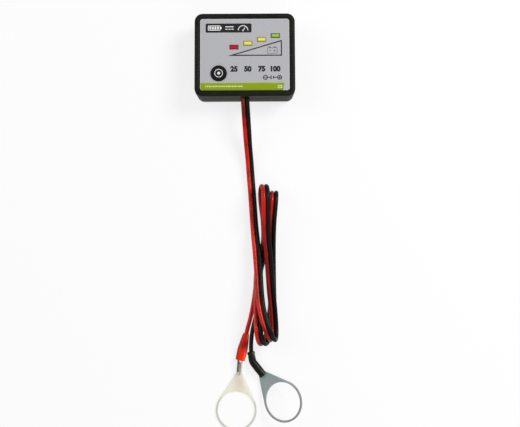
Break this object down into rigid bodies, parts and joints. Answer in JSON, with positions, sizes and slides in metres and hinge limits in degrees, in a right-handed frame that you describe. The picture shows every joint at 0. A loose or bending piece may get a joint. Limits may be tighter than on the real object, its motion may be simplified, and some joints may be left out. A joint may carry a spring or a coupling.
{
  "type": "battery tester",
  "caption": "Hand-held battery tester with a rectangular two-shell case, a row of lamps, a push button and a twin lead that ends in ring terminals.",
  "frame": {"origin": "centre of the case's back, on the surface it lies on", "axes": "+X to the right of the face, +Y to its top, away from the lead, +Z out of the face"},
  "size_m": [0.0584, 0.2318, 0.0171],
  "materials": {
    "case_black": "fine satin grain",
    "label_grey": "printed film, satin",
    "button_black": "satin",
    "lamp_red": "diffused epoxy",
    "lamp_yellow": "diffused epoxy",
    "lamp_green": "diffused epoxy",
    "board_green": "solder mask",
    "package_black": "moulded epoxy",
    "capacitor_blue": "shrunk sleeve",
    "tinned_metal": "tin plate",
    "spring_steel": "rolled",
    "screw_zinc": "zinc plate",
    "screw_black": "black oxide",
    "nylon_white": "natural",
    "insulation_red": "extruded vinyl",
    "insulation_black": "extruded vinyl",
    "boot_red": "dipped vinyl",
    "boot_black": "dipped vinyl",
    "ring_tin": "bright tin plate",
    "ring_grey": "dull tin plate"
  },
  "bodies": {
    "case": {"rear_housing": "case_black", "front_cover": "case_black", "face_label": "label_grey", "switch_dome": "spring_steel", "switch_base": "package_black", "switch_frame": "spring_steel", "circuit_board": "board_green", "led_red": "lamp_red", "led_yellow_low": "lamp_yellow", "led_yellow_high": "lamp_yellow", "led_green": "lamp_green", "comparator_chip": "package_black", "reference_chip": "package_black", "bias_resistors": "package_black", "protection_diode": "package_black", "smoothing_capacitor": "capacitor_blue", "solder_joints": "tinned_metal", "board_screws": "screw_zinc", "case_screws": "screw_black", "cable_tie": "nylon_white", "inner_wire_red": "insulation_red", "inner_wire_black": "insulation_black", "twin_cable": "insulation_red", "cable_hank": "insulation_red", "red_lead": "insulation_red", "black_lead": "insulation_black", "red_boot": "boot_red", "black_boot": "boot_black", "red_ring_terminal": "ring_tin", "black_ring_terminal": "ring_grey"},
    "button": {"push_button": "button_black", "switch_plunger": "package_black"}
  },
  "joints": [
    {"name": "button_press", "type": "slide", "parent": "case", "child": "button", "axis": [0, 0, -1], "range_m": [0, 0.0003], "stiffness_N_per_m": 3000, "deforming": ["switch_dome"]}
  ]
}
